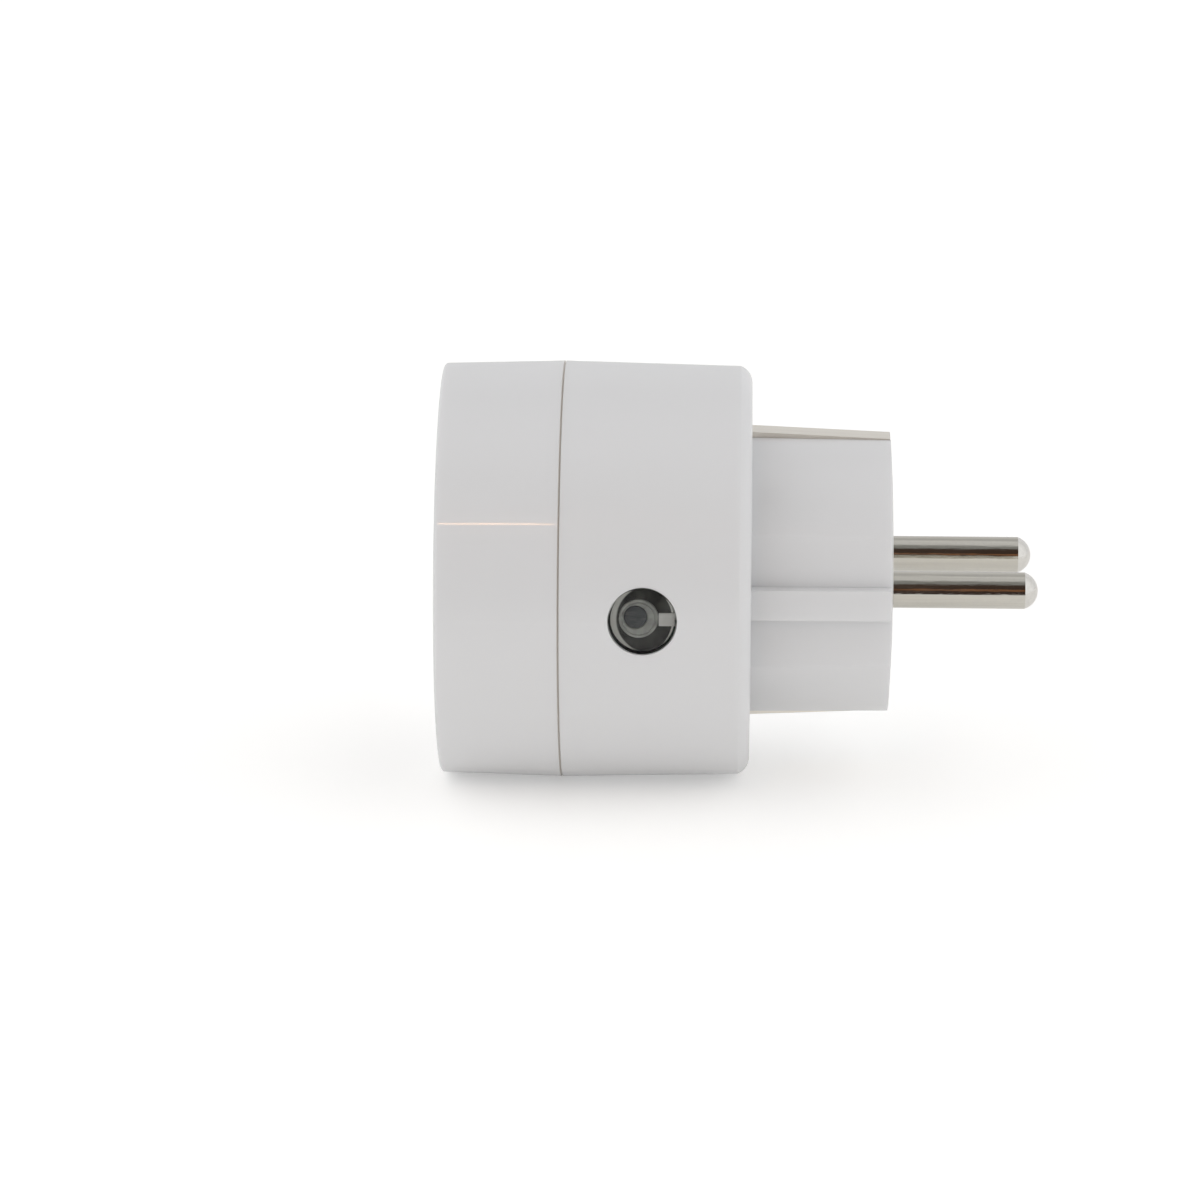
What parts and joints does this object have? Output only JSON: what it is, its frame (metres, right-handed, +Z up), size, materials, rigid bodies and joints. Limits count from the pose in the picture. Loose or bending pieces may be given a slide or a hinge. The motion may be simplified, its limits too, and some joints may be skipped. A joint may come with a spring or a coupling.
{
  "type": "plug-in power meter",
  "caption": "Round plug-in energy meter and switch: earthed round-pin mains plug at the back, recessed appliance socket at the front, clear push button in the side.",
  "frame": {"origin": "middle of the plug's face, between the two pins, where the face meets the wall socket's floor", "axes": "+Y along the pins into the wall socket, +X towards the side with the push button, +Z up"},
  "size_m": [0.0552, 0.0782, 0.0552],
  "materials": {
    "shell_plastic": "fine satin white moulding",
    "screw_steel": "zinc plated",
    "pin_nickel": "bright nickel plate over brass",
    "earth_plate": "satin nickel plate, slightly warm",
    "copper_strap": "bare copper alloy",
    "contact_brass": "bright brass",
    "carrier_plastic": "dark satin moulding",
    "shutter_plastic": "white slippery moulding",
    "spring_steel": "drawn wire",
    "button_clear": "clear, slightly smoky polycarbonate",
    "guide_black": "black moulding",
    "plunger_black": "dark grey moulding",
    "board_green": "solder mask over glass laminate",
    "led_clear": "moulded resin",
    "relay_black": "filled moulding",
    "relay_iron": "zinc plated iron",
    "coil_winding": "enamelled copper wire",
    "capacitor_sleeve": "sleeved aluminium can",
    "varistor_blue": "dipped coating",
    "capacitor_yellow": "moulded film capacitor box",
    "resistor_body": "painted ceramic",
    "chip_black": "moulded package",
    "shield_tin": "tinned sheet"
  },
  "bodies": {
    "housing": {"front_cover": "shell_plastic", "rear_shell": "shell_plastic", "housing_screws": "screw_steel", "carrier_screws": "screw_steel", "plug_pin_line": "pin_nickel", "plug_pin_neutral": "pin_nickel", "earth_strip_top": "earth_plate", "earth_strip_bottom": "earth_plate", "earth_spring_top": "earth_plate", "earth_spring_bottom": "earth_plate", "earth_pin_contact": "earth_plate", "plug_terminal_line": "copper_strap", "plug_terminal_neutral": "copper_strap", "earth_bridge": "copper_strap", "current_shunt": "copper_strap", "relay_contact": "copper_strap", "socket_contact_line": "contact_brass", "socket_contact_neutral": "contact_brass", "contact_carrier": "carrier_plastic", "shutter_spring": "spring_steel", "button_guide": "guide_black", "tact_switch": "guide_black", "main_board": "board_green", "switch_board": "board_green", "radio_module": "board_green", "status_led": "led_clear", "relay_case": "relay_black", "relay_base": "relay_black", "relay_yoke": "relay_iron", "relay_coil": "coil_winding", "choke": "coil_winding", "electrolytic_capacitor": "capacitor_sleeve", "varistor": "varistor_blue", "x2_capacitor": "capacitor_yellow", "fuse_resistor": "resistor_body", "metering_chip": "chip_black", "bridge_rectifier": "chip_black", "radio_shield": "shield_tin"},
    "button": {"button": "button_clear"},
    "plunger": {"switch_plunger": "plunger_black"},
    "shutter": {"shutter": "shutter_plastic"},
    "armature": {"relay_armature": "relay_iron"}
  },
  "joints": [
    {"name": "button_press", "type": "slide", "parent": "housing", "child": "button", "axis": [-1, 0, 0], "range_m": [0, 0.0005], "stiffness_N_per_m": 2500, "springref_m": -0.0004},
    {"name": "plunger_press", "type": "slide", "parent": "housing", "child": "plunger", "axis": [-1, 0, 0], "range_m": [0, 0.0005], "stiffness_N_per_m": 500, "springref_m": -0.0004},
    {"name": "shutter_turn", "type": "hinge", "parent": "housing", "child": "shutter", "pos_m": [0, -0.03865, 0], "axis": [0, 1, 0], "range_deg": [0, 38], "stiffness_Nm_per_rad": 0.004, "springref_deg": -20.05},
    {"name": "armature_pull", "type": "hinge", "parent": "housing", "child": "armature", "pos_m": [0.0009, -0.00815, -0.0084], "axis": [0, 0, 1], "range_deg": [0, 4.5], "stiffness_Nm_per_rad": 0.02, "springref_deg": -3.44}
  ],
  "couplings": [
    {"joint": "plunger_press", "follows": "button_press", "ratio": 1}
  ]
}
